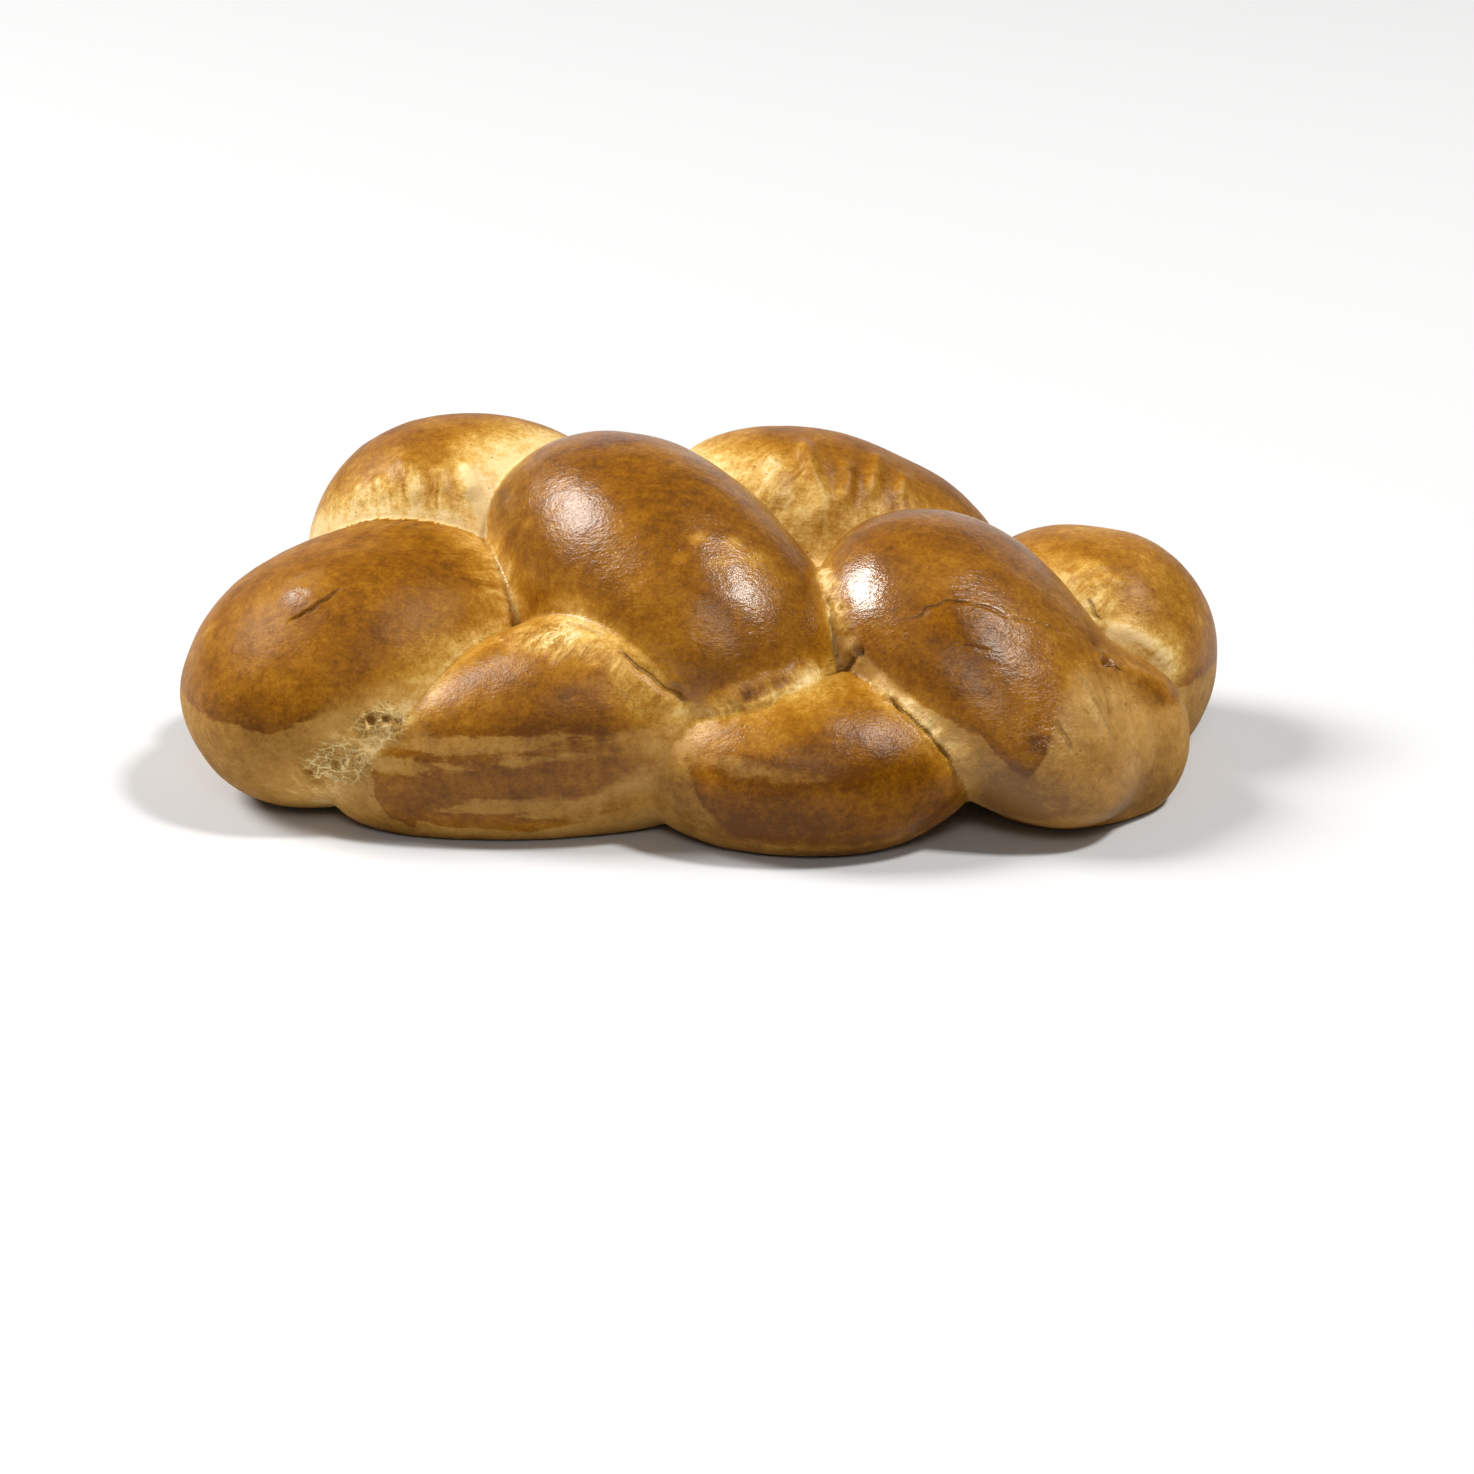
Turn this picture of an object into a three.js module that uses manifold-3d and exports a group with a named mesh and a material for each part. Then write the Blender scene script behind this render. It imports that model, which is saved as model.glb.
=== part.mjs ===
// A plump four-strand braided loaf, egg-washed and baked, as one solid.
// Millimetres, +Z up. The loaf rests on z = 0 and runs along X, its front towards -Y.
//
// Wherever a strand passes over its neighbours it swells into a lobe, so the loaf is the union of
// the lobes, of the low turns where strands fold under at the rim, of one blister, and of the packed
// crumb inside.

import * as THREE from "three";
import { mergeVertices } from "three/addons/utils/BufferGeometryUtils.js";
import Module from "manifold-3d";

const wasm = await Module();
wasm.setup();

// ---- Driving dimensions ----

// Every swelling is a rounded ellipsoid:
//   centre   its middle, x, y, z
//   half     its half length, half width and half height
//   heading  degrees its long axis is turned from +X towards +Y
//   climb    degrees the long axis rises towards its forward end
//   taper    how much fatter the forward end is than the middle, as a share
//   puff     how full it is: 2, as where none is given, is an ellipsoid, and more is squarer
const LOBES = {
  // the middle row, each lobe running over two others
  leftShoulder: { centre: [-98, -11, 37], half: [54, 47, 37], heading: 27, climb: 17, taper: -0.05 },
  crown: { centre: [-10, -12, 51], half: [65, 40, 43], heading: -48, climb: -25, taper: 0.02, puff: 2.1 },
  rightShoulder: { centre: [80, -36, 40], half: [57, 39, 29], heading: -47, climb: -31, taper: -0.16 },

  // the front row, lower, ending in the tucked-in tip of the last strand
  frontLeft: { centre: [-42, -41, 25], half: [67, 29, 33], heading: 3, climb: 12, taper: 0.17 },
  frontRight: { centre: [28, -51, 20], half: [52, 35, 28], heading: -10, climb: 1, puff: 1.9 },
  rightTip: { centre: [109, -37, 18], half: [32, 25, 27], heading: 22, climb: -2, puff: 2.1 },

  // the back row
  backLeft: { centre: [-65, 41, 49], half: [52, 37, 45], heading: 14, climb: -1, taper: -0.08, puff: 2.1 },
  backMiddle: { centre: [38, 39, 44], half: [59, 36, 43], heading: 2, climb: -14, taper: -0.08, puff: 2.1 },
  backRight: { centre: [114, 18, 25], half: [41, 34, 38], heading: -26, climb: -2, taper: 0.01, puff: 2.2 },
};

// Low folds where a strand turns back under the rim.
const TURNS = {
  leftEnd: { centre: [-112, 20, 24], half: [36, 34, 28], heading: 40, puff: 2.1 },
  backLeftFold: { centre: [-16, 46, 24], half: [40, 28, 28], puff: 2.1 },
  backRightFold: { centre: [80, 42, 22], half: [38, 28, 27], heading: -10, puff: 2.1 },
};

// A bubble that pushed the crust of the left shoulder up into a blister.
const BUBBLES = {
  blister: { centre: [-107, -33, 64], half: [10, 9, 5], heading: 59, climb: 29 },
};

// The crumb that fills the loaf between the strands: a low slab that gives it its flat base, and a
// ridge that the middle and back rows lie on.
const CRUMB = {
  slab: { centre: [-2, 2, 16], half: [128, 44, 28], puff: 3 },
  ridge: { centre: [8, 8, 36], half: [96, 34, 26] },
};

const SWELLING_DETAIL = 7; // how finely a lobe's surface is divided
const CRUST_COLOUR = 0xa9651f; // deep golden brown
const CRUST_ROUGHNESS = 0.38;

// ---- Geometry ----

/** A unit ball pulled out to a tapered, rounded ellipsoid and laid in its place. */
function swellingGeometry({ centre, half, heading = 0, climb = 0, taper = 0, puff = 2 }, detail) {
  const geometry = new THREE.IcosahedronGeometry(1, detail);
  const [halfLength, halfWidth, halfHeight] = half;
  const points = geometry.getAttribute("position");
  const point = new THREE.Vector3();
  for (let i = 0; i < points.count; i++) {
    point.fromBufferAttribute(points, i);
    const sum = Math.abs(point.x) ** puff + Math.abs(point.y) ** puff + Math.abs(point.z) ** puff;
    point.multiplyScalar(sum ** (-1 / puff));
    const girth = 1 + taper * point.x;
    points.setXYZ(i, halfLength * point.x, halfWidth * girth * point.y, halfHeight * girth * point.z);
  }
  const { degToRad } = THREE.MathUtils;
  const turn = new THREE.Euler(0, -degToRad(climb), degToRad(heading), "ZYX");
  geometry.applyMatrix4(new THREE.Matrix4().makeRotationFromEuler(turn));
  return geometry.translate(...centre);
}

/** The solid inside a closed three.js geometry. */
function toSolid(geometry) {
  geometry.deleteAttribute("normal");
  geometry.deleteAttribute("uv");
  const merged = mergeVertices(geometry, 1e-3);
  const vertProperties = new Float32Array(merged.getAttribute("position").array);
  const triVerts = new Uint32Array(merged.getIndex().array);
  return new wasm.Manifold(new wasm.Mesh({ numProp: 3, vertProperties, triVerts }));
}

/** The three.js geometry of a solid. */
function toGeometry(solid) {
  const mesh = solid.getMesh();
  const geometry = new THREE.BufferGeometry();
  geometry.setAttribute("position", new THREE.BufferAttribute(mesh.vertProperties, 3));
  geometry.setIndex(new THREE.BufferAttribute(mesh.triVerts, 1));
  geometry.computeVertexNormals();
  return geometry;
}

/** All the swellings joined, and cut off flat where the loaf lay on its baking sheet. */
function loafSolid() {
  const swellings = [LOBES, TURNS, BUBBLES, CRUMB].flatMap(Object.values);
  const dough = swellings
    .map((swelling) => toSolid(swellingGeometry(swelling, SWELLING_DETAIL)))
    .reduce((joined, next) => joined.add(next));
  const sheetSize = 400;
  const sheet = new THREE.BoxGeometry(sheetSize, sheetSize, sheetSize).translate(0, 0, -sheetSize / 2);
  return dough.subtract(toSolid(sheet));
}

// ---- The loaf ----

const crust = new THREE.MeshStandardMaterial({
  color: CRUST_COLOUR,
  roughness: CRUST_ROUGHNESS,
  metalness: 0,
});

const loaf = new THREE.Mesh(toGeometry(loafSolid()), crust);
loaf.name = "loaf";

// The origin is the middle of the loaf's footprint box, on the surface it rests on.
loaf.geometry.computeBoundingBox();
const middle = loaf.geometry.boundingBox.getCenter(new THREE.Vector3());
loaf.position.set(-middle.x, -middle.y, 0);

const braidedLoaf = new THREE.Group();
braidedLoaf.add(loaf);

export default braidedLoaf;
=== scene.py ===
from math import cos, radians, sin

import bmesh
import bpy
import numpy as np
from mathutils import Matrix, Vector


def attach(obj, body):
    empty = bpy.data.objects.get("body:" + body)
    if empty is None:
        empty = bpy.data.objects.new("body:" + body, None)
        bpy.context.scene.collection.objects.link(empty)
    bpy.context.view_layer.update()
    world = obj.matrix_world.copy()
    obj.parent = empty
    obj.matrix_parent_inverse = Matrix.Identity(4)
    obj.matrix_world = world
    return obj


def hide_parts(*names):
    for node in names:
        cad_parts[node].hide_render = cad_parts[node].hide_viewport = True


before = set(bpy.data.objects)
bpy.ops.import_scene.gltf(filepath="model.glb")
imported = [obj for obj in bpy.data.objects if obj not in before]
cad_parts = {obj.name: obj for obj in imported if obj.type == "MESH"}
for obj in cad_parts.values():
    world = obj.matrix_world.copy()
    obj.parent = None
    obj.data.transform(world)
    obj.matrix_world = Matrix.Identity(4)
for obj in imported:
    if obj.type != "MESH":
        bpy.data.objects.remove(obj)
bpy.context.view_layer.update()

# A plump braided loaf, egg-washed and baked. Its skin is worked out in millimetres, in the frame its
# lobes are laid out in, and moved to the row frame and metres at the end.

# ---------------------------------------------------------------- driving dimensions, millimetres

MM = 0.001


def lobe(centre, half, heading=0, climb=0, taper=0, puff=2):
    """A swelling of the dough, as in the part's own solid.

    It is a rounded ellipsoid with its half length, width and height, the heading and climb of its
    long axis in degrees, the taper towards its forward end, and how full it is (2 is an ellipsoid,
    more is squarer).
    """
    return dict(centre=centre, half=half, heading=heading, climb=climb, taper=taper, puff=puff)


LOBES = dict(
    leftShoulder=lobe((-98, -11, 37), (54, 47, 37), heading=27, climb=17, taper=-0.05),
    crown=lobe((-10, -12, 51), (65, 40, 43), heading=-48, climb=-25, taper=0.02, puff=2.1),
    rightShoulder=lobe((80, -36, 40), (57, 39, 29), heading=-47, climb=-31, taper=-0.16),
    frontLeft=lobe((-42, -41, 25), (67, 29, 33), heading=3, climb=12, taper=0.17),
    frontRight=lobe((28, -51, 20), (52, 35, 28), heading=-10, climb=1, puff=1.9),
    rightTip=lobe((109, -37, 18), (32, 25, 27), heading=22, climb=-2, puff=2.1),
    backLeft=lobe((-65, 41, 49), (52, 37, 45), heading=14, climb=-1, taper=-0.08, puff=2.1),
    backMiddle=lobe((38, 39, 44), (59, 36, 43), heading=2, climb=-14, taper=-0.08, puff=2.1),
    backRight=lobe((114, 18, 25), (41, 34, 38), heading=-26, climb=-2, taper=0.01, puff=2.2),
    leftEnd=lobe((-112, 20, 24), (36, 34, 28), heading=40, puff=2.1),
    backLeftFold=lobe((-16, 46, 24), (40, 28, 28), puff=2.1),
    backRightFold=lobe((80, 42, 22), (38, 28, 27), heading=-10, puff=2.1),
    slab=lobe((-2, 2, 16), (128, 44, 28), puff=3),
    ridge=lobe((8, 8, 36), (96, 34, 26)),
)
NAMES = list(LOBES)
FUSED = ("rightShoulder", "rightTip")  # the two lobes that baked together with no seam
FUSE_WIDTH = 4.0                       # how wide their joint is rounded
SEAM_WIDTH = 1.0                       # how wide a crisp seam is rounded
TORN_WIDTH = 2.4                       # how much more a torn seam is filled

VOXEL = 1.55    # the skin's mesh size before it is refined
REFINE_WITHIN = 4.0                    # the skin is twice as fine this near a seam or a crack
HOLLOW_MARGIN = 1.0                    # and this far round a hollow,
BLISTER_MARGIN = 1.6                   # out to this many times the blister's half size
BASE_LEFT_COARSE = 1.0                 # but nowhere below this height

# ---------------------------------------------------------------- noise

NOISE_CELLS = 32


def noise(points, size, seed):
    """Smooth seeded noise from -1 to 1, with lumps of about size millimetres."""
    lattice = np.random.default_rng(seed).uniform(-1, 1, (NOISE_CELLS,) * 3)
    scaled = points / size
    cell = np.floor(scaled).astype(int)
    part = scaled - cell
    part = part * part * (3 - 2 * part)
    total = np.zeros(len(points))
    for corner in np.ndindex(2, 2, 2):
        share = np.prod(np.where(corner, part, 1 - part), axis=1)
        index = (cell + corner) % NOISE_CELLS
        total += share * lattice[index[:, 0], index[:, 1], index[:, 2]]
    return total


def smoothstep(low, high, value):
    """0 below low, 1 above high, smooth between; low may be the larger."""
    t = np.clip((value - low) / (high - low), 0, 1)
    return t * t * (3 - 2 * t)


# ---------------------------------------------------------------- the dough's form

def axes_of(heading, climb):
    """The directions of a swelling's length, width and height, as rows."""
    turn, rise = radians(heading), radians(climb)
    along = np.array([cos(turn) * cos(rise), sin(turn) * cos(rise), sin(rise)])
    across = np.array([-sin(turn), cos(turn), 0])
    return np.array([along, across, np.cross(along, across)])


def local_to(points, form):
    """Points in a form's own length, width and height directions, from its centre."""
    return (points - form["centre"]) @ axes_of(form["heading"], form["climb"]).T


def nearness(points, form):
    """Each point's distance to a swelling's surface, below 0 inside, and the way out from it."""
    local = local_to(points, form)
    girth = 1 + form["taper"] * local[:, 0] / form["half"][0]
    size = np.array(form["half"], float) * np.stack([np.ones_like(girth), girth, girth], axis=1)
    puff = form["puff"]
    share = np.maximum(np.abs(local / size), 1e-6)
    reach = (share ** puff).sum(axis=1) ** (1 / puff)
    slope = np.sign(local) * share ** (puff - 1) / size * (reach ** (1 - puff))[:, None]
    steepness = np.linalg.norm(slope, axis=1)
    way_out = (slope / steepness[:, None]) @ axes_of(form["heading"], form["climb"])
    return (reach - 1) / steepness, way_out


def soft_union(distances, ways, width):
    """The distance to several forms joined with rounded seams, and the way out from them."""
    weights = np.exp(-(distances - distances.min(axis=0)) / width)
    total = weights.sum(axis=0)
    joined = distances.min(axis=0) - width * np.log(total)
    way = (ways * (weights / total)[:, :, None]).sum(axis=0)
    return joined, way / np.linalg.norm(way, axis=1)[:, None]


def dough(points, seam_width):
    """Each point's distance to the loaf's plain skin, the way out, and how far each lobe is."""
    found = [nearness(points, form) for form in LOBES.values()]
    distances = np.array([distance for distance, _ in found])
    ways = np.array([way for _, way in found])
    fused = [NAMES.index(name) for name in FUSED]
    rest = [i for i in range(len(NAMES)) if i not in fused]
    joint, joint_way = soft_union(distances[fused], ways[fused], FUSE_WIDTH)
    all_distances = np.vstack([distances[rest], joint[None]])
    all_ways = np.concatenate([ways[rest], joint_way[None]])
    skin, way = soft_union(all_distances, all_ways, seam_width)
    return skin, way, distances


# ---------------------------------------------------------------- tears, cracks, pleats and hollows

# Torn seams, where the dough's skin ripped open as it rose: points along the seam, then the half width
# of the torn band and how badly it tore, each at its two ends.
TEARS = [
    ([(-50, -46, 57), (-42, -53, 58), (-32, -54, 54), (-20, -61, 48), (-8, -66, 42)], (8, 3), (1.0, 0.2)),
    ([(6, -66, 43), (14, -66, 46), (22, -63, 48), (32, -57, 49)], (5, 4), (0.6, 0.6)),
    ([(50, -61, 46), (58, -67, 41), (64, -71, 36), (74, -75, 28)], (3, 4), (0.5, 0.6)),
    ([(36, -29, 67), (39, -42, 63), (43, -51, 56)], (4, 4), (0.7, 0.5)),
    ([(-88, -58, 37), (-96, -59, 31), (-104, -58, 24), (-110, -56, 18)], (8, 7), (0.5, 0.5)),
    ([(117, -14, 46), (127, -15, 43), (133, -15, 38), (139, -13, 32)], (2, 4), (0.4, 0.5)),
]

# Where the torn dough dried into a net of threads: centre, half sizes and how strong it is.
NETS = [
    ((-90, -58, 35), (9, 9, 7), 0.8),
    ((-102, -58, 24), (12, 9, 9), 1.0),
    ((-42, -50, 60), (10, 9, 7), 0.5),
    ((96, -75, 34), (8, 8, 8), 0.2),
]

# Cracks in the crust: points along the crack, its depth and its half width.
CRACKS = [
    ([(-116, -43, 60), (-112, -42, 62), (-105, -39, 65), (-100, -35, 68)], 0.7, 0.4),
    ([(57, -56, 62), (60, -56, 64), (64, -54, 66), (69, -53, 67), (77, -53, 66)], 0.45, 0.5),
    ([(75, -53, 66), (80, -53, 65), (86, -54, 62)], 0.35, 0.5),
    ([(86, -54, 62), (91, -53, 61), (100, -51, 57), (105, -48, 54)], 0.2, 0.5),
    ([(97, -73, 39), (102, -75, 33), (102, -76, 30)], 0.5, 0.6),
    ([(72, -62, 57), (76, -62, 56), (80, -62, 55)], 0.25, 0.6),
    ([(51, -63, 43), (54, -65, 42), (59, -70, 38), (66, -73, 31), (72, -74, 27)], 0.8, 0.6),
    ([(-24, -56, 57), (-17, -60, 52), (-9, -63, 46), (-2, -65, 42)], 0.8, 1.3),
    ([(-38, -44, 62), (-31, -50, 60), (-26, -54, 58)], 0.4, 0.8),
    ([(114, -9, 52), (115, -12, 48), (117, -14, 46)], 0.7, 0.7),
    ([(44, -54, 52), (42, -52, 50), (39, -51, 47), (34, -57, 47)], 1.8, 1.2),
    ([(112, -50, 47), (115, -48, 44), (118, -47, 41)], 1.0, 0.8),
]

# Pleats in the stretched dough, as soft ridges: points along the ridge, its height and half width.
PLEATS = [
    ([(31, 34, 89), (34, 19, 83), (37, 13, 76), (38, 5, 68)], 2.2, 2.6),
    ([(44, 27, 85), (45, 19, 80), (42, 11, 73)], 1.7, 2.0),
    ([(55, 37, 83), (52, 21, 79), (51, 15, 74)], 1.7, 2.2),
    ([(62, 31, 79), (60, 19, 74)], 1.4, 2.0),
    ([(21, 26, 88), (23, 16, 82), (25, 10, 74)], 1.3, 2.4),
    ([(-87, 25, 90), (-84, 17, 84), (-80, 9, 77)], 1.3, 2.2),
    ([(-67, 21, 87), (-66, 11, 78)], 1.4, 2.2),
    ([(-101, 20, 82), (-97, 14, 76)], 1.0, 2.0),
    ([(-76, 19, 87), (-73, 11, 80)], 0.9, 1.8),
    ([(-94, 19, 84), (-90, 12, 78)], 0.9, 1.8),
    ([(109, -6, 54), (114, -2, 58), (121, -1, 58)], 0.9, 1.8),
    ([(112, -7, 53), (118, -4, 55), (126, -6, 53)], 0.7, 1.6),
    ([(117, -14, 46), (127, -15, 43), (133, -15, 38), (139, -13, 32)], 0.9, 2.6),
    ([(120, -47, 43), (128, -43, 40), (136, -40, 36)], 0.8, 3.0),
    ([(107, -62, 42), (110, -65, 34), (111, -70, 27)], 0.7, 2.0),
    ([(122, -53, 35), (124, -56, 25), (122, -58, 16)], 0.6, 2.6),
]

# Small hollows: centre, radius and depth.
HOLLOWS = [
    ((-92, -58, 37), 2.4, 2.6), ((-88, -58, 37), 2.0, 2.2), ((-85, -57, 36), 1.7, 1.6),
    ((-102, -59, 25), 2.6, 1.4), ((-97, -59, 26), 2.2, 1.2), ((-108, -56, 17), 2.6, 1.2),
    ((-110, -57, 21), 2.2, 1.0), ((113, -49, 46), 2.8, 2.0), ((118, -46, 42), 2.4, 1.4),
    ((38, -36, 66), 1.0, 0.6), ((40, -43, 62), 1.3, 0.9), ((44, -54, 53), 2.4, 2.2),
    ((-37, -53, 60), 2.0, 1.6), ((-29, -54, 56), 1.8, 1.4), ((-20, -59, 51), 1.4, 1.0),
]

BLISTER = dict(centre=(-110, -33, 68), half=(9, 9, 9))
BLISTER_LIP = (2, -7, -3)    # from its middle towards the side where it lifts and has cracked
BLISTER_RISE = 2.0
BLISTER_SMOOTHER = 0.12      # how much less rough its glaze is
BLISTER_SHINIER = 0.4        # and how much more it mirrors light

# Where the dough was stretched into fine folds: centre, half sizes and how deep.
FOLDS = [
    ((34, 14, 78), (32, 22, 18), 1.1),
    ((66, 16, 70), (20, 20, 14), 0.7),
    ((-80, 10, 78), (34, 18, 15), 1.2),
    ((118, -6, 54), (16, 12, 12), 0.5),
    ((112, -58, 36), (14, 12, 14), 0.5),
    ((-64, -16, 68), (16, 20, 16), 0.5),
    ((-16, 74, 28), (24, 20, 18), 0.5),
    ((80, 70, 26), (24, 20, 18), 0.5),
    ((-118, 46, 26), (24, 22, 18), 0.4),
]


def to_polyline(points, line, way):
    """Distance to a line of points, signed by its side, and how far along it from 0 to 1."""
    line = np.array(line, float)
    steps = np.linalg.norm(np.diff(line, axis=0), axis=1)
    starts = np.concatenate([[0], np.cumsum(steps)]) / steps.sum()
    best = np.full(len(points), np.inf)
    side = np.ones(len(points))
    along = np.zeros(len(points))
    for i in range(len(line) - 1):
        run = (line[i + 1] - line[i]) / steps[i]
        offset = points - line[i]
        part = np.clip(offset @ run / steps[i], 0, 1)
        away = offset - (part * steps[i])[:, None] * run
        away -= (away * way).sum(axis=1)[:, None] * way * 0.7
        distance = np.linalg.norm(away, axis=1)
        closer = distance < best
        best[closer] = distance[closer]
        side[closer] = np.where((np.cross(way, run) * away).sum(axis=1) < 0, -1, 1)[closer]
        along[closer] = (starts[i] + part * (starts[i + 1] - starts[i]))[closer]
    return best, side, along


def torn_amount(points, way):
    """How torn the skin is at each point, 0 to 1."""
    torn = np.zeros(len(points))
    for number, (line, widths, strengths) in enumerate(TEARS):
        distance, _, along = to_polyline(points, line, way)
        ragged = distance / np.interp(along, (0, 1), widths) + 0.5 * noise(points, 4.5, seed=200 + number)
        torn = np.maximum(torn, np.interp(along, (0, 1), strengths) * smoothstep(1.1, 0.35, ragged))
    return torn


def spot(points, centre, half, heading=0, climb=0):
    """How far out in an ellipsoid each point is, 0 at its centre and 1 at its edge."""
    local = local_to(points, dict(centre=centre, heading=heading, climb=climb))
    return np.linalg.norm(local / half, axis=1)


# ---------------------------------------------------------------- the skin's mesh

BALL_SUBDIVISIONS = 5
SETTLING_ROUNDS = 3


def ball():
    """A fine unit ball's points and faces."""
    mesh = bmesh.new()
    bmesh.ops.create_icosphere(mesh, subdivisions=BALL_SUBDIVISIONS, radius=1)
    points = np.array([tuple(v.co) for v in mesh.verts])
    faces = np.array([[v.index for v in f.verts] for f in mesh.faces])
    mesh.free()
    return points, faces


def swelling_points(form, directions):
    """A unit ball's points pulled out to a swelling."""
    puff = form["puff"]
    pulled = directions / ((np.abs(directions) ** puff).sum(axis=1) ** (1 / puff))[:, None]
    girth = 1 + form["taper"] * pulled[:, 0]
    size = np.array(form["half"], float) * np.stack([np.ones_like(girth), girth, girth], axis=1)
    return pulled * size @ axes_of(form["heading"], form["climb"]) + form["centre"]


def joined_mesh():
    """All swellings as one closed skin of even small faces, and the middle of their box."""
    directions, faces = ball()
    points = np.vstack([swelling_points(form, directions) for form in LOBES.values()])
    all_faces = np.vstack([faces + i * len(directions) for i in range(len(LOBES))])
    middle = (points.min(axis=0) + points.max(axis=0)) / 2
    rough = bpy.data.meshes.new("rough")
    rough.from_pydata(points.tolist(), [], all_faces.tolist())
    carrier = bpy.data.objects.new("rough", rough)
    bpy.context.scene.collection.objects.link(carrier)
    remesh = carrier.modifiers.new("skin", "REMESH")
    remesh.mode = "VOXEL"
    remesh.voxel_size = VOXEL
    evaluated = carrier.evaluated_get(bpy.context.evaluated_depsgraph_get())
    skin = bpy.data.meshes.new_from_object(evaluated)
    bpy.data.objects.remove(carrier)
    bpy.data.meshes.remove(rough)
    return skin, middle


def vertex_array(mesh):
    """A mesh's vertices as an array."""
    flat = np.empty(len(mesh.vertices) * 3)
    mesh.vertices.foreach_get("co", flat)
    return flat.reshape(-1, 3)


def neighbour_average(values, edges, counts):
    """Each vertex's mean over the vertices it shares an edge with."""
    total = np.zeros_like(values)
    for axis in range(values.shape[1]):
        total[:, axis] = np.bincount(edges[:, 0], values[edges[:, 1], axis], len(values))
        total[:, axis] += np.bincount(edges[:, 1], values[edges[:, 0], axis], len(values))
    return total / counts[:, None]


def settle(mesh, rounds):
    """Smooths a mesh and brings it back onto the dough's skin.

    Returns its points, and for them the distance to the skin, the way out and each lobe's distance.
    """
    points = vertex_array(mesh)
    edges = np.empty(len(mesh.edges) * 2, int)
    mesh.edges.foreach_get("vertices", edges)
    edges = edges.reshape(-1, 2)
    counts = np.bincount(edges.ravel(), minlength=len(points)).astype(float)
    _, way, _ = dough(points, SEAM_WIDTH)
    seam_width = SEAM_WIDTH + TORN_WIDTH * torn_amount(points, way)
    for _ in range(rounds):
        points += 0.5 * (neighbour_average(points, edges, counts) - points)
        distance, way, _ = dough(points, seam_width)
        points -= way * distance[:, None]
    mesh.vertices.foreach_set("co", points.ravel())
    return points, dough(points, seam_width)


def seam_gap_of(distances):
    """Which two lobes are nearest, and their distances' difference, whose 0 lies on the seam."""
    distances = distances.copy()
    fused = [NAMES.index(name) for name in FUSED]
    distances[fused[0]] = distances[fused].min(axis=0)
    distances[fused[1]] = np.inf
    order = np.argsort(distances, axis=0)[:2]
    low, high = order.min(axis=0), order.max(axis=0)
    every = np.arange(distances.shape[1])
    return low, high, distances[low, every] - distances[high, every]


def refine(mesh, points, way, distances):
    """Halves a mesh's faces beside seams, cracks, hollows and the blister, above its very base."""
    _, _, gap = seam_gap_of(distances)
    wanted = np.abs(gap) < REFINE_WITHIN
    for line, _, _ in CRACKS:
        wanted |= to_polyline(points, line, way)[0] < REFINE_WITHIN
    for centre, radius, _ in HOLLOWS:
        wanted |= np.linalg.norm(points - centre, axis=1) < radius + HOLLOW_MARGIN
    wanted |= spot(points, **BLISTER) < BLISTER_MARGIN
    wanted &= points[:, 2] > BASE_LEFT_COARSE
    work = bmesh.new()
    work.from_mesh(mesh)
    work.verts.ensure_lookup_table()
    chosen = [e for e in work.edges if wanted[e.verts[0].index] and wanted[e.verts[1].index]]
    bmesh.ops.subdivide_edges(work, edges=chosen, cuts=1, use_grid_fill=True)
    work.to_mesh(mesh)
    work.free()


skin, middle = joined_mesh()
points, (_, way, lobe_distances) = settle(skin, SETTLING_ROUNDS)
refine(skin, points, way, lobe_distances)
points, (_, way, lobe_distances) = settle(skin, SETTLING_ROUNDS)

# ---------------------------------------------------------------- how each place baked and was glazed, and where shade and light are painted into its colour

# Where a strand comes out from under another its dough is stretched and lighter. Each line: the
# strand that is stretched, the one over it, how far that reaches in mm, and how strong it is.
STRETCHES = [
    ("frontLeft", "crown", 15, 0.45),
    ("frontLeft", "leftShoulder", 12, 0.42),
    ("frontLeft", "frontRight", 12, 0.3),
    ("leftShoulder", "frontLeft", 19, 0.58),
    ("leftShoulder", "crown", 25, 0.56),
    ("crown", "frontLeft", 8, 0.3),
    ("crown", "frontRight", 9, 0.3),
    ("crown", "leftShoulder", 14, 0.6),
    ("crown", "backLeft", 9, 0.5),
    ("crown", "rightShoulder", 8, 0.45),
    ("frontRight", "crown", 19, 0.52),
    ("frontRight", "rightShoulder", 16, 0.4),
    ("frontRight", "frontLeft", 15, 0.36),
    ("rightShoulder", "frontRight", 9, 0.5),
    ("rightShoulder", "crown", 12, 0.6),
    ("rightShoulder", "backMiddle", 8, 0.5),
    ("rightShoulder", "backRight", 7, 0.3),
    ("rightTip", "backRight", 6, 0.25),
    ("backLeft", "leftShoulder", 28, 0.98),
    ("backLeft", "crown", 30, 1.0),
    ("backMiddle", "crown", 34, 0.68),
    ("backMiddle", "rightShoulder", 30, 0.7),
    ("backRight", "rightShoulder", 20, 0.56),
    ("backRight", "rightTip", 20, 0.70),
    ("backLeft", "backLeftFold", 16, 0.5),
    ("backMiddle", "backLeftFold", 16, 0.5),
    ("backMiddle", "backRightFold", 15, 0.5),
    ("backRight", "backRightFold", 15, 0.5),
    ("backLeft", "leftEnd", 14, 0.45),
    ("leftShoulder", "leftEnd", 12, 0.4),
    ("leftEnd", "backLeft", 16, 0.6),
    ("leftEnd", "leftShoulder", 14, 0.55),
    ("backLeftFold", "backLeft", 18, 0.75),
    ("backLeftFold", "backMiddle", 18, 0.75),
    ("backRightFold", "backMiddle", 18, 0.75),
    ("backRightFold", "backRight", 18, 0.7),
]

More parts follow.
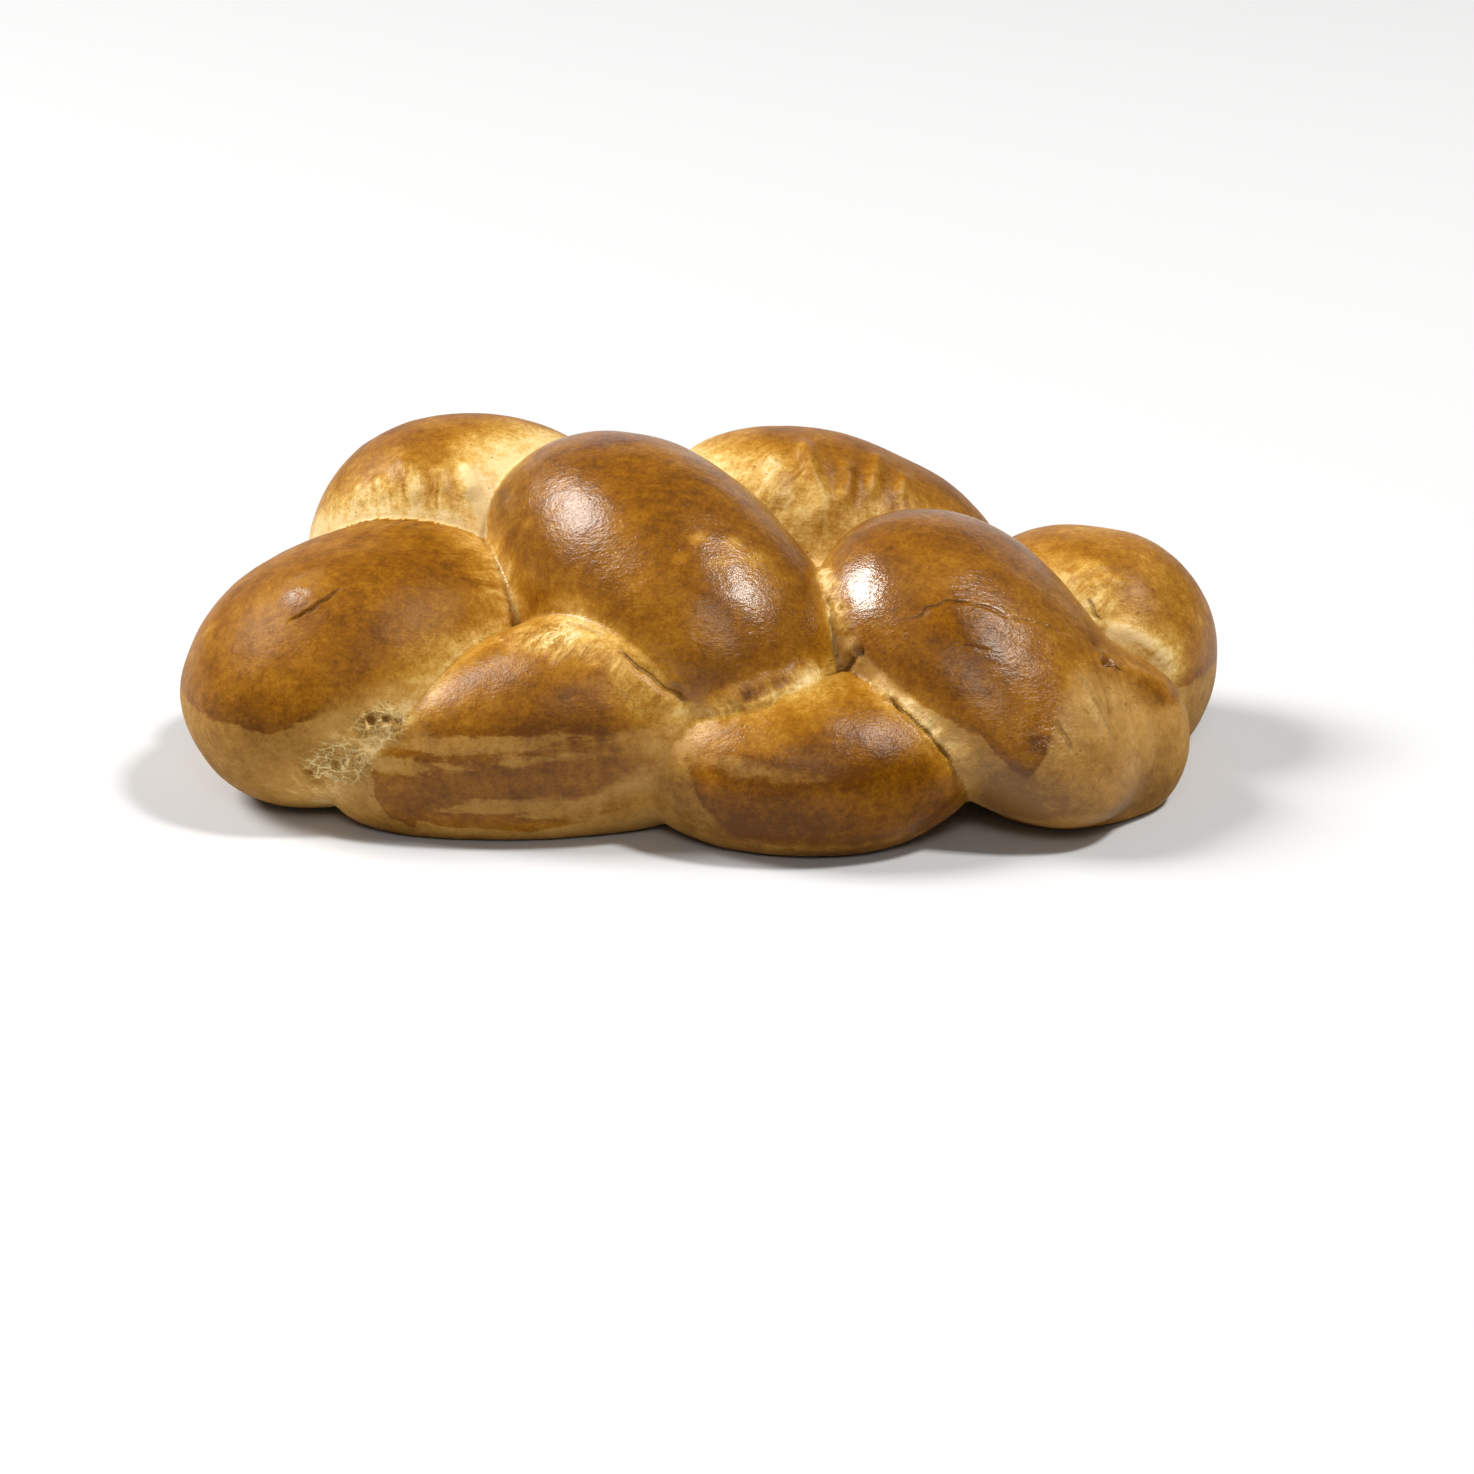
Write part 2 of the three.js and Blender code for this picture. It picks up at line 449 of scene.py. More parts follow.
# How brown each swelling baked, from 0, creamy, to 1, deep brown.
BROWNING = dict(
    leftShoulder=0.74, crown=0.74, rightShoulder=0.76, frontLeft=0.72, frontRight=0.78, rightTip=0.60,
    backLeft=0.80, backMiddle=0.71, backRight=0.66, leftEnd=0.62, backLeftFold=0.6, backRightFold=0.6,
    slab=0.3, ridge=0.2,
)

# How rough its glaze is, from glossy to dull.
ROUGHNESS = dict(
    leftShoulder=0.42, crown=0.24, rightShoulder=0.25, frontLeft=0.32, frontRight=0.28, rightTip=0.44,
    backLeft=0.40, backMiddle=0.40, backRight=0.42, leftEnd=0.42, backLeftFold=0.42, backRightFold=0.42,
    slab=0.5, ridge=0.5,
)

# How strongly it mirrors light.
SHINE = dict(
    leftShoulder=0.12, crown=0.45, rightShoulder=0.50, frontLeft=0.30, frontRight=0.22, rightTip=0.12,
    backLeft=0.24, backMiddle=0.24, backRight=0.24, leftEnd=0.24, backLeftFold=0.24, backRightFold=0.24,
    slab=0.2, ridge=0.2,
)

# Places where the glaze is thick and wet (+) or thin and dull (-): centre, half sizes and how much
# more it mirrors light there.
GLAZED = [
    ((52, -46, 72), (13, 13, 15), 1.0),
    ((74, -57, 60), (15, 12, 13), -0.36),
    ((93, -64, 50), (14, 12, 14), -0.32),
    ((15, -79, 34), (14, 10, 9), 0.30),
    ((50, -80, 24), (20, 14, 14), -0.14),
]
WET_SMOOTHER = 0.05   # how much less rough the glaze is where it mirrors wholly
THINNING = (-12, 28)  # the heights between which it thins out towards the base

# Places that baked darker (+) or stayed lighter (-), and a few where shade (+) or light (-) is painted in:
# centre, half sizes, heading, climb and how much.
BAKED_AND_PAINTED_LIGHT = [
    ((-13, -29, 91), (30, 18, 18), -44, -24, 0.08),
    ((2, -52, 74), (20, 9, 16), -44, -24, 0.12),
    ((-34, -38, 63), (26, 18, 8), -44, -24, -0.10),
    ((-95, -51, 55), (18, 14, 9), 18, 30, 0.12),
    ((-78, -27, 70), (16, 14, 10), 18, 20, 0.10),
    # lighter foot of the front left lobe: partly paler dough, partly painted bounce light
    ((-52, -68, 4), (40, 12, 6), 0, 0, -0.16),
    ((-42, -66, 38), (20, 8, 5), 0, 0, 0.20),
    # lighter on the front right lobe's upper left: partly paler crust, partly a painted highlight
    ((15, -78, 35), (12, 8, 5), 0, 0, -0.20),
    ((70, -68, 34), (10, 10, 10), 0, -40, 0.14),
    # lighter on the left shoulder's upper left: partly paler crust, partly painted sheen
    ((-128, -33, 61), (16, 16, 9), 18, 30, -0.08),
    ((-120, -48, 40), (24, 14, 5), 0, 8, 0.12),
    ((-45, -62, 46), (18, 10, 8), 0, 0, 0.12),
    ((-12, -67, 38), (16, 12, 12), 0, 0, -0.22),
    ((-50, -69, 22), (26, 10, 6), 0, 4, 0.08),
    ((30, -82, 32), (20, 10, 8), 4, 0, 0.16),
    ((27, -83, 11), (30, 14, 8), 4, 0, 0.14),
    ((68, -74, 24), (10, 12, 8), 0, 0, -0.1),
    ((65, -36, 77), (22, 18, 9), -47, -23, -0.04),
    ((72, -64, 55), (16, 10, 12), -47, -23, 0.16),
    ((92, -75, 29), (10, 10, 10), 0, 0, 0.14),
    ((104, -60, 40), (9, 12, 14), 0, 0, -0.22),
    ((120, -55, 34), (12, 12, 12), 0, 0, -0.12),
    # darker on the front right lobe's left side: painted shade
    ((-7, -71, 19), (9, 12, 18), 0, 0, 0.22),
    # darker at the right shoulder's foot: painted shade next to the board
    ((84, -74, 13), (16, 14, 7), 0, 0, 0.22),
    ((66, -72, 38), (16, 10, 6), 0, -40, -0.22),
    ((89, -79, 25), (3, 4, 2), 0, 0, 0.4),
    ((93, -77, 34), (4, 5, 3), 0, 0, 0.25),
    ((14, -66, 46), (4, 5, 3), 0, 0, 0.35),
    ((22, -63, 48), (3, 4, 2), 0, 0, 0.3),
    ((4, -60, 52), (22, 10, 8), 0, 10, 0.20),
    ((-36, -50, 57), (16, 8, 6), 0, 0, -0.20),
    ((-16, -54, 60), (16, 8, 7), -44, -24, 0.20),
    # darker on the right shoulder's low flank and foot: painted shade next to the board
    ((78, -78, 18), (26, 14, 13), 0, 0, 0.20),
    # darker on the right tip's low side: painted shade next to the board
    ((120, -52, 8), (26, 22, 10), 0, 0, 0.24),
    # darker in the crease between the crown and the front left lobe: painted shade
    ((-9, -64, 45), (11, 8, 5), 0, 30, 0.24),
    # lighter on the blister: partly paler crust, partly a painted highlight
    ((-108, -34, 68), (8, 8, 8), 0, 0, -0.12),
    ((0, -41, 83), (3, 5, 2), -30, 0, -0.34),
    ((10, -40, 81), (4, 5, 3), -30, 0, -0.30),
    ((7, -46, 78), (4, 5, 2), -30, 0, -0.28),
    ((14, -43, 77), (5, 5, 4), -30, 0, -0.26),
    ((-5, -45, 79), (3, 5, 2), -30, 0, -0.22),
    ((-49, -16, 80), (3, 4, 2), 0, 0, -0.16),
    ((-48, -25, 68), (4, 4, 4), 0, 0, -0.16),
    ((126, -47, 38), (9, 6, 5), 0, -10, 0.16),
    ((105, -64, 44), (8, 7, 7), 0, 0, -0.12),
    ((128, -53, 20), (16, 12, 10), 0, 0, 0.14),
    ((128, -48, 38), (10, 12, 7), 0, 0, 0.14),
    ((103, -74, 19), (12, 10, 10), 0, 0, 0.12),
]

# The lower edge of the brushed egg wash on each swelling, as heights at places along x.
ALL_ALONG = (0,)
WASH_EDGE = dict(
    leftShoulder=((-155, -145, -121, -112, -104, -95, -85, -76), (33, 33, 33, 36, 40, 42, 43, 38)),
    crown=(ALL_ALONG, (10,)),
    rightShoulder=(
        (43, 50, 58, 64, 72, 77, 81, 86, 90, 94, 98, 103, 110),
        (56, 49, 44, 41, 37, 36, 31, 26, 23, 29, 38, 45, 47),
    ),
    frontLeft=((-110, -95, -88, -80, -70, -60, -45, -30, -15), (30, 23, 14, 8, 5, 6, 13, 18, 24)),
    frontRight=((-16, -6, -1, 5, 12, 24, 44, 62, 80), (44, 31, 18, 10, 4, 3, 2, 4, 6)),
    rightTip=((96, 112, 140), (34, 33, 30)),
    backLeft=(ALL_ALONG, (34,)), backMiddle=(ALL_ALONG, (34,)), backRight=(ALL_ALONG, (26,)),
    leftEnd=(ALL_ALONG, (30,)), backLeftFold=(ALL_ALONG, (34,)), backRightFold=(ALL_ALONG, (30,)),
    slab=(ALL_ALONG, (60,)), ridge=(ALL_ALONG, (90,)),
)

# Strokes the brush missed, and strokes it reached below the edge: centre, half sizes, heading, climb.
MISSED = [
    ((-60, -64, 32), (34, 9, 2.2), 0, 4),
    ((-66, -64, 26), (22, 9, 0.9), 0, 6),
    ((-50, -68, 14), (24, 9, 1.8), 0, 2),
    ((-38, -69, 10), (14, 9, 1.4), 0, 6),
    ((-84, -60, 24), (10, 9, 2.4), 0, 0),
    ((12, -80, 29), (13, 8, 0.8), 0, -4),
    ((24, -82, 5), (16, 10, 1.4), 0, 0),
]
REACHED = [
    ((-50, -66, 7), (15, 9, 3), 0, 2),
    ((-22, -68, 13), (9, 9, 3), 0, 12),
    ((-89, -60, 13), (2, 9, 7), 0, 25),
    ((-84, -61, 9), (2, 9, 7), 0, 30),
]

EDGE_WIDTH = 0.9  # how wide the edge of the wash is where the brush left it crisp

# Where that edge is blurred: centre, half sizes and how wide the edge is there in mm.
BLURRED = [
    ((-88, -56, 44), (22, 20, 14), 9),
    ((-12, -68, 24), (16, 18, 20), 5),
    ((30, -80, 8), (50, 20, 10), 4),
    ((-30, -68, 20), (24, 12, 14), 2.4),
    ((14, -80, 29), (24, 12, 8), 3),
    ((50, -62, 52), (16, 16, 12), 3),
    ((114, -58, 26), (20, 30, 24), 12),
    ((80, -76, 16), (12, 14, 12), 4),
    ((103, -66, 40), (12, 16, 18), 8),
    ((0, 60, 34), (200, 40, 40), 7),
]

SEAM_REACH = 3.0       # how near a seam the points lie that give its direction
FEWEST_BESIDE = 30     # a seam with fewer such points is left out
SEAM_SPREAD = (37, 5)  # sets each seam's marks apart from the others', by its two lobes' numbers
NEXT_SEAM_REACH = 5.0  # how far from where the next seam takes over the marks start to fade


def blended_shares(distances):
    """How much each swelling counts at each point: all to the nearest, mixed over the fused joint."""
    shares = np.zeros_like(distances)
    shares[distances.argmin(axis=0), np.arange(distances.shape[1])] = 1
    first, second = (NAMES.index(name) for name in FUSED)
    both = shares[first] + shares[second]
    lean = 1 / (1 + np.exp(np.clip((distances[first] - distances[second]) / FUSE_WIDTH, -30, 30)))
    shares[first], shares[second] = both * lean, both * (1 - lean)
    return shares


def for_each_lobe(shares, values):
    """A value given for every swelling, at every point."""
    return sum(shares[i] * values[name] for i, name in enumerate(NAMES))


def stretched_lightness(points, distances, shares):
    """How much lighter the crust is where its dough was stretched."""
    lightness = np.zeros(len(points))
    for number, (under, over, reach, strength) in enumerate(STRETCHES):
        gap = distances[NAMES.index(over)] - distances.min(axis=0)
        uneven = gap * (1 + 0.3 * noise(points, 13, seed=40 + number))
        uneven += 1.5 * noise(points, 6, seed=70 + number)
        fade = smoothstep(reach, -0.25 * reach, uneven)
        lightness = np.maximum(lightness, strength * fade * shares[NAMES.index(under)])
    return lightness


def browning_and_painted_light(points, distances, shares):
    """How brown the crust baked at each point, with painted shade and painted light added in places."""
    bake = for_each_lobe(shares, BROWNING)
    for centre, half, heading, climb, change in BAKED_AND_PAINTED_LIGHT:
        bake += change * smoothstep(1.3, 0.2, spot(points, centre, half, heading, climb))
    bake += 0.10 * noise(points, 30, seed=7) + 0.06 * noise(points, 11, seed=8)
    return bake - stretched_lightness(points, distances, shares)


def washed_depth(points, shares):
    """How far inside the egg wash's edge each point lies, in mm, below 0 where there is none."""
    wash = np.zeros(len(points))
    for i, name in enumerate(NAMES):
        wash += shares[i] * (points[:, 2] - np.interp(points[:, 0], *WASH_EDGE[name]))
    for centre, half, heading, climb in MISSED:
        wash = np.minimum(wash, (spot(points, centre, half, heading, climb) - 1) * half[2])
    for centre, half, heading, climb in REACHED:
        wash = np.maximum(wash, (1 - spot(points, centre, half, heading, climb)) * half[2])
    return wash


def wash_edge_width(points):
    """How wide the edge of the wash is."""
    edge_width = np.full(len(points), EDGE_WIDTH)
    for centre, half, width in BLURRED:
        edge_width += (width - EDGE_WIDTH) * smoothstep(1.2, 0.5, spot(points, centre, half))
    return edge_width


def glaze(points, shares):
    """How rough the glaze is, and how strongly it mirrors light."""
    roughness = for_each_lobe(shares, ROUGHNESS)
    shine = for_each_lobe(shares, SHINE)
    for centre, half, amount in GLAZED:
        wet = amount * smoothstep(1.2, 0.3, spot(points, centre, half))
        shine += wet
        roughness -= WET_SMOOTHER * wet
    shine *= smoothstep(*THINNING, points[:, 2])
    return roughness, shine


def netting(points):
    """How strongly the torn dough dried into a net."""
    netted = np.zeros(len(points))
    for centre, half, strength in NETS:
        netted = np.maximum(netted, strength * smoothstep(1.1, 0.5, spot(points, centre, half)))
    return netted


def seam_coordinates(points, distances):
    """Coordinates for stretch marks, along and across each seam, which jump from seam to seam."""
    low_lobe, high_lobe, seam = seam_gap_of(distances)
    web = np.stack([points[:, 0], seam, points[:, 2]], axis=1)
    for low, high in sorted(set(zip(low_lobe.tolist(), high_lobe.tolist()))):
        mine = (low_lobe == low) & (high_lobe == high)
        beside = points[mine & (np.abs(seam) < SEAM_REACH)]
        if len(beside) < FEWEST_BESIDE:
            continue
        direction = np.linalg.svd(beside - beside.mean(axis=0), full_matrices=False)[2][0]
        web[mine, 0] = points[mine] @ direction
        web[mine, 2] = np.dot(SEAM_SPREAD, (low, high))
    return web


def one_seam_share(distances):
    """1 beside a single seam, falling to 0 where the next one takes over, so that marks fade there."""
    _, second, third = np.sort(distances, axis=0)[:3]
    return smoothstep(0, NEXT_SEAM_REACH, third - second)


shares = blended_shares(lobe_distances)
seam = seam_gap_of(lobe_distances)[2]
web = seam_coordinates(points, lobe_distances)
one_seam = one_seam_share(lobe_distances)
torn = torn_amount(points, way)
bake = browning_and_painted_light(points, lobe_distances, shares)
wash = washed_depth(points, shares)
edge_width = wash_edge_width(points)
roughness, shine = glaze(points, shares)
netted = netting(points)

# ---------------------------------------------------------------- relief, along the skin's own normal

CREASE_DEPTH = 0.4       # how deep a crisp seam is creased
CREASE_WIDTH = 1.6       # and how wide
THREAD_HEIGHT = 0.8      # how far the threads of a torn seam stand out
PLEAT_LIGHTER = 0.16     # how much lighter a pleat's crest baked
NO_CRACK = 9.0           # the distance to a crack where there is none this near


def unevenness(points):
    """The skin's slight lumps, from broad to fine."""
    lumps = 0.7 * noise(points, 34, seed=1)
    lumps += 0.4 * noise(points, 15, seed=2)
    lumps += 0.12 * noise(points, 5, seed=3)
    return lumps


def folded(points, wavy, one_seam):
    """The height of the fine folds in stretched dough, and where they are, 0 to 1."""
    relief = np.zeros(len(points))
    pleated = np.zeros(len(points))
    for number, (centre, half, depth) in enumerate(FOLDS):
        weight = one_seam * smoothstep(1.2, 0.4, spot(points, centre, half))
        pleats = noise(wavy / [8, 40, 1], 1, seed=20 + number)
        pleats += 0.5 * noise(wavy / [4, 22, 1], 1, seed=30 + number)
        relief += depth * weight * pleats
        pleated = np.maximum(pleated, weight)
    return relief, pleated


def cracked(points, way):
    """The cracks' height, and the nearest one's distance, signed by its side, and strength."""
    relief = np.zeros(len(points))
    nearest = np.full(len(points), NO_CRACK)
    strength = np.zeros(len(points))
    for line, depth, half_width in CRACKS:
        distance, side, along = to_polyline(points, line, way)
        offset = side * distance + 0.6 * noise(points, 3, seed=9) + 0.5 * noise(points, 7, seed=12)
        wavering = np.abs(offset)
        ends = smoothstep(0, 0.2, along) * smoothstep(1, 0.8, along)
        lips = 0.25 * np.exp(-((wavering - 2 * half_width) / half_width) ** 2)
        relief += depth * ends * (lips - np.exp(-(wavering / half_width) ** 2))
        closer = wavering < np.abs(nearest)
        nearest[closer] = offset[closer]
        strength[closer] = (ends * min(depth, 1))[closer]
    return relief, nearest, strength


def pleat_ridges(points, way):
    """The pleats' height, and how much of a pleat's crest each point is on."""
    relief = np.zeros(len(points))
    crests = np.zeros(len(points))
    for line, height, half_width in PLEATS:
        distance, _, along = to_polyline(points, line, way)
        ends = smoothstep(0, 0.25, along) * smoothstep(1, 0.75, along)
        crest = ends * np.exp(-((distance + 0.5 * noise(points, 7, seed=10)) / half_width) ** 2)
        relief += height * crest
        crests += crest
    return relief, crests


def hollowed(points):
    """The small hollows' height with their raised rims, and where they are, 0 to 1."""
    relief = np.zeros(len(points))
    hollow = np.zeros(len(points))
    for centre, radius, depth in HOLLOWS:
        reach = np.linalg.norm(points - centre, axis=1) / radius + 0.2 * noise(points, 2, seed=14)
        share = smoothstep(1.0, 0.2, reach)
        relief -= depth * share
        relief += 0.25 * depth * np.exp(-((reach - 1.25) / 0.25) ** 2)
        hollow = np.maximum(hollow, share)
    return relief, hollow


def blistered(points):
    """The blister's height, most at its lip, and where it is, 0 to 1."""
    lift = (points - BLISTER["centre"]) @ np.array(BLISTER_LIP) / np.linalg.norm(BLISTER_LIP)
    lift = np.clip(0.5 + lift / (2 * BLISTER["half"][0]), 0, 1)
    share = smoothstep(1.15, 0.25, spot(points, **BLISTER) + 0.15 * noise(points, 6, seed=11))
    return BLISTER_RISE * share * lift + 0.25 * share * noise(points, 3, seed=15), share


wavy = web.copy()
wavy[:, 0] += 4 * noise(points, 12, seed=13)
threads = noise(wavy / [2.8, 9, 1], 1, seed=5) + 0.5 * noise(points, 3.2, seed=6)

fold_relief, pleated = folded(points, wavy, one_seam)
crack_relief, crack_offset, crack_strength = cracked(points, way)
pleat_relief, crests = pleat_ridges(points, way)
hollow_relief, hollow = hollowed(points)
blister_relief, blister = blistered(points)

relief = unevenness(points)
relief -= CREASE_DEPTH * np.exp(-(seam / CREASE_WIDTH) ** 2) * (1 - torn)
relief += THREAD_HEIGHT * torn * one_seam * threads
relief += fold_relief + crack_relief + pleat_relief + hollow_relief + blister_relief
points += way * relief[:, None]

bake -= PLEAT_LIGHTER * crests
roughness -= BLISTER_SMOOTHER * blister
shine += BLISTER_SHINIER * blister

# ---------------------------------------------------------------- to the row frame

BASE_ROUNDING = 2.0  # how far above the board the base's edge starts to round

height = points[:, 2]
rounded = (height + BASE_ROUNDING) ** 2 / (4 * BASE_ROUNDING)
points[:, 2] = np.where(height > BASE_ROUNDING, height, np.where(height < -BASE_ROUNDING, 0, rounded))
points -= [middle[0], middle[1], 0]
skin.vertices.foreach_set("co", (points * MM).ravel())
skin.update()
skin.polygons.foreach_set("use_smooth", [True] * len(skin.polygons))


def keep(**kept):
    """Keeps numbers or vectors for every vertex under their names, for the crust's material to read."""
    for name, values in kept.items():
        kind, part = ("FLOAT", "value") if values.ndim == 1 else ("FLOAT_VECTOR", "vector")
        attribute = skin.attributes.new(name, kind, "POINT")
        attribute.data.foreach_set(part, values.astype(np.float32).ravel())


keep(
    bake=bake, wash=wash, seam=seam, torn=torn, pleated=pleated, hollow=hollow, roughness=roughness,
    shine=shine, edge_width=edge_width, netted=netted, one_seam=one_seam, crack_offset=crack_offset,
    crack_strength=crack_strength, web=web, place=points,
)

loaf = bpy.data.objects.new("crusty_loaf", skin)
bpy.context.scene.collection.objects.link(loaf)
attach(loaf, "root")
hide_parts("loaf")

# ---------------------------------------------------------------- crust

# The crust's colours from creamy, at tone 0, to deep brown, at tone 1: under the egg wash, and bare.
GLAZED_COLOURS = [
    (0.0, (0.82, 0.60, 0.27)),
    (0.16, (0.68, 0.43, 0.12)),
    (0.34, (0.49, 0.25, 0.036)),
    (0.54, (0.34, 0.140, 0.008)),
    (0.76, (0.225, 0.079, 0.002)),
    (1.0, (0.115, 0.036, 0.001)),
]
BARE_COLOURS = [
    (0.0, (0.80, 0.57, 0.24)),
    (0.35, (0.52, 0.285, 0.070)),
    (0.7, (0.35, 0.170, 0.029)),
    (1.0, (0.19, 0.080, 0.010)),
]
# Painted shade for the insides of the cracks and the creases of the crisp seams.
CRACK_SHADE_COLOUR = (0.10, 0.035, 0.004, 1)
SEAM_SHADE_COLOUR = (0.22, 0.10, 0.02, 1)
PORE_COLOUR = (0.11, 0.04, 0.004, 1)
WARM_GLINT = (1.0, 0.94, 0.86, 1)

# How high the fine relief stands, in metres.
BRUSHED_RELIEF = 0.0003
PORE_RELIEF = 0.00013
THREAD_RELIEF = 0.0011


class Nodes:
    """Short names for the nodes of one material. A plain number or colour may stand for any input."""

    def __init__(self, name):
        self.material = bpy.data.materials.new(name)
        self.material.use_nodes = True
        self.tree = self.material.node_tree
        self.shader = self.tree.nodes["Principled BSDF"]

    def feed(self, socket, value):
        """Links another node's output to an input, or sets the input to a plain value."""
        if isinstance(value, bpy.types.NodeSocket):
            self.tree.links.new(value, socket)
        else:
            socket.default_value = value

    def attribute(self, name, vector=False):
        """What was kept for every vertex under this name."""
        node = self.tree.nodes.new("ShaderNodeAttribute")
        node.attribute_name = name
        return node.outputs["Vector" if vector else "Fac"]

    def math(self, operation, first, second=0.0, third=0.0):
        """One sum of up to three values."""
        node = self.tree.nodes.new("ShaderNodeMath")
        node.operation = operation
        for socket, value in zip(node.inputs, (first, second, third)):
            self.feed(socket, value)
        return node.outputs[0]

    def plus(self, base, *terms):
        """base plus each term's value times its amount."""
        for value, amount in terms:
            base = self.math("MULTIPLY_ADD", value, amount, base)
        return base

    def stretched(self, vector, scale):
        """The vector with each axis times its own scale."""
        node = self.tree.nodes.new("ShaderNodeVectorMath")
        node.operation = "MULTIPLY"
        self.feed(node.inputs[0], vector)
        self.feed(node.inputs[1], scale)
        return node.outputs[0]

    def shifted(self, vector, amount):
        """The vector moved by amount along its first axis."""
        along = self.tree.nodes.new("ShaderNodeCombineXYZ")
        self.feed(along.inputs["X"], amount)
        node = self.tree.nodes.new("ShaderNodeVectorMath")
        self.feed(node.inputs[0], vector)
        self.feed(node.inputs[1], along.outputs[0])
        return node.outputs[0]

    def noise(self, vector, size, detail=2.0, roughness=0.5):
        """Noise around 0, about -0.5 to 0.5, with lumps of about size in the vector's units."""
        node = self.tree.nodes.new("ShaderNodeTexNoise")
        self.feed(node.inputs["Vector"], vector)
        node.inputs["Scale"].default_value = 1 / size
        node.inputs["Detail"].default_value = detail
        node.inputs["Roughness"].default_value = roughness
        return self.math("SUBTRACT", node.outputs["Fac"], 0.5)

    def cells(self, vector, size, feature="F1"):
        """Distance to the middle, or to the edge, of scattered cells of about size."""
        node = self.tree.nodes.new("ShaderNodeTexVoronoi")
        node.feature = feature
        self.feed(node.inputs["Vector"], vector)
        node.inputs["Scale"].default_value = 1 / size
        return node.outputs["Distance"]

    def step(self, low, high, value):
        """0 below low, 1 above high, smooth between; low may be the larger."""
        node = self.tree.nodes.new("ShaderNodeMapRange")
        node.interpolation_type = "SMOOTHSTEP"
        self.feed(node.inputs["Value"], value)
        ends = (low, high, 0.0, 1.0) if low < high else (high, low, 1.0, 0.0)
        for name, end in zip(("From Min", "From Max", "To Min", "To Max"), ends):
            node.inputs[name].default_value = end
        return node.outputs["Result"]

    def mix(self, share, first, second):
        """The second colour over the first, by its share."""
        node = self.tree.nodes.new("ShaderNodeMix")
        node.data_type = "RGBA"
        self.feed(node.inputs[0], share)
        self.feed(node.inputs[6], first)
        self.feed(node.inputs[7], second)
        return node.outputs[2]

    def ramp(self, value, stops):
        """A colour that runs through the stops as the value goes from 0 to 1."""
        node = self.tree.nodes.new("ShaderNodeValToRGB")
        elements = node.color_ramp.elements
        while len(elements) < len(stops):
            elements.new(0.5)
        for element, (position, colour) in zip(elements, stops):
            element.position = position
            element.color = (*colour, 1)
        self.feed(node.inputs["Fac"], value)
        return node.outputs["Color"]

    def bump(self, height, distance, before=None):
        """Fine relief, distance metres high, over the relief before it."""
        node = self.tree.nodes.new("ShaderNodeBump")
        node.inputs["Distance"].default_value = distance
        node.inputs["Strength"].default_value = 1.0
        self.feed(node.inputs["Height"], height)
        if before is not None:
            self.feed(node.inputs["Normal"], before)
        return node.outputs["Normal"]


